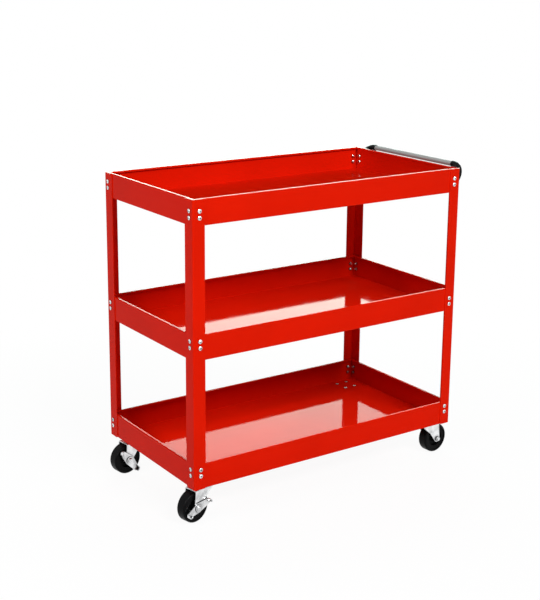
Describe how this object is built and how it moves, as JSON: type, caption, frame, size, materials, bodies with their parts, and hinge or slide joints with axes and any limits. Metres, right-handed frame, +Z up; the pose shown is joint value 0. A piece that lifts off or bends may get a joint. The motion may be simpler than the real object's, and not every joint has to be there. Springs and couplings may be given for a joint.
{
  "type": "rolling service cart",
  "caption": "Open rolling tool cart: folded sheet trays bolted inside angle corner posts, on swivel casters with side brakes, with a tube handle on one end.",
  "frame": {"origin": "on the floor, under the centre of the frame of posts and trays", "axes": "+X along the cart towards the end with the handle, -Y towards the front, +Z up"},
  "size_m": [0.8167, 0.4116, 0.7613],
  "materials": {
    "powder_coat": "gloss",
    "zinc": "satin",
    "bearing_steel": "gloss",
    "handle_metal": "satin",
    "black_plastic": "satin",
    "hub_plastic": "satin",
    "tyre": "matte"
  },
  "bodies": {
    "cart": {"post_front_left": "powder_coat", "post_back_left": "powder_coat", "post_front_right": "powder_coat", "post_back_right": "powder_coat", "tray_top": "powder_coat", "tray_screws_top": "zinc", "tray_nuts_top": "zinc", "tray_middle": "powder_coat", "tray_screws_middle": "zinc", "tray_nuts_middle": "zinc", "tray_bottom": "powder_coat", "tray_screws_bottom": "zinc", "tray_nuts_bottom": "zinc", "handle_tube": "handle_metal", "handle_bracket_front": "black_plastic", "handle_bracket_back": "black_plastic", "handle_screws": "zinc", "caster_bolts": "zinc", "caster_nuts": "zinc", "caster_plate_front_left": "zinc", "king_rivet_front_left": "zinc", "caster_plate_back_left": "zinc", "king_rivet_back_left": "zinc", "caster_plate_front_right": "zinc", "king_rivet_front_right": "zinc", "caster_plate_back_right": "zinc", "king_rivet_back_right": "zinc"},
    "swivel_front_left": {"fork_front_left": "zinc", "axle_bolt_front_left": "zinc", "axle_nut_front_left": "zinc", "axle_bush_front_left": "zinc", "race_balls_front_left": "bearing_steel", "brake_cam_ring_front_left": "zinc"},
    "wheel_front_left": {"hub_front_left": "hub_plastic", "tyre_front_left": "tyre"},
    "brake_front_left": {"brake_lever_front_left": "zinc"},
    "swivel_back_left": {"fork_back_left": "zinc", "axle_bolt_back_left": "zinc", "axle_nut_back_left": "zinc", "axle_bush_back_left": "zinc", "race_balls_back_left": "bearing_steel", "brake_cam_ring_back_left": "zinc"},
    "wheel_back_left": {"hub_back_left": "hub_plastic", "tyre_back_left": "tyre"},
    "brake_back_left": {"brake_lever_back_left": "zinc"},
    "swivel_front_right": {"fork_front_right": "zinc", "axle_bolt_front_right": "zinc", "axle_nut_front_right": "zinc", "axle_bush_front_right": "zinc", "race_balls_front_right": "bearing_steel"},
    "wheel_front_right": {"hub_front_right": "hub_plastic", "tyre_front_right": "tyre"},
    "swivel_back_right": {"fork_back_right": "zinc", "axle_bolt_back_right": "zinc", "axle_nut_back_right": "zinc", "axle_bush_back_right": "zinc", "race_balls_back_right": "bearing_steel"},
    "wheel_back_right": {"hub_back_right": "hub_plastic", "tyre_back_right": "tyre"}
  },
  "joints": [
    {"name": "swivel_front_left", "type": "hinge", "parent": "cart", "child": "swivel_front_left", "pos_m": [-0.329, -0.161, 0.07955], "axis": [0, 0, 1], "continuous": true},
    {"name": "wheel_front_left", "type": "hinge", "parent": "swivel_front_left", "child": "wheel_front_left", "pos_m": [-0.36617, -0.1689, 0.0375], "axis": [0.2079, -0.9781, 0], "continuous": true},
    {"name": "brake_front_left", "type": "hinge", "parent": "swivel_front_left", "child": "brake_front_left", "pos_m": [-0.36617, -0.1689, 0.0375], "axis": [-0.2079, 0.9781, 0], "range_deg": [0, 68]},
    {"name": "swivel_back_left", "type": "hinge", "parent": "cart", "child": "swivel_back_left", "pos_m": [-0.329, 0.161, 0.07955], "axis": [0, 0, 1], "continuous": true},
    {"name": "wheel_back_left", "type": "hinge", "parent": "swivel_back_left", "child": "wheel_back_left", "pos_m": [-0.36672, 0.15637, 0.0375], "axis": [0.1219, -0.9925, 0], "continuous": true},
    {"name": "brake_back_left", "type": "hinge", "parent": "swivel_back_left", "child": "brake_back_left", "pos_m": [-0.36672, 0.15637, 0.0375], "axis": [-0.1219, 0.9925, 0], "range_deg": [-68, 0]},
    {"name": "swivel_front_right", "type": "hinge", "parent": "cart", "child": "swivel_front_right", "pos_m": [0.329, -0.161, 0.07955], "axis": [0, 0, 1], "continuous": true},
    {"name": "wheel_front_right", "type": "hinge", "parent": "swivel_front_right", "child": "wheel_front_right", "pos_m": [0.36691, -0.15835, 0.0375], "axis": [-0.0698, 0.9976, 0], "continuous": true},
    {"name": "swivel_back_right", "type": "hinge", "parent": "cart", "child": "swivel_back_right", "pos_m": [0.329, 0.161, 0.07955], "axis": [0, 0, 1], "continuous": true},
    {"name": "wheel_back_right", "type": "hinge", "parent": "swivel_back_right", "child": "wheel_back_right", "pos_m": [0.36587, 0.15181, 0.0375], "axis": [0.2419, 0.9703, 0], "continuous": true}
  ]
}
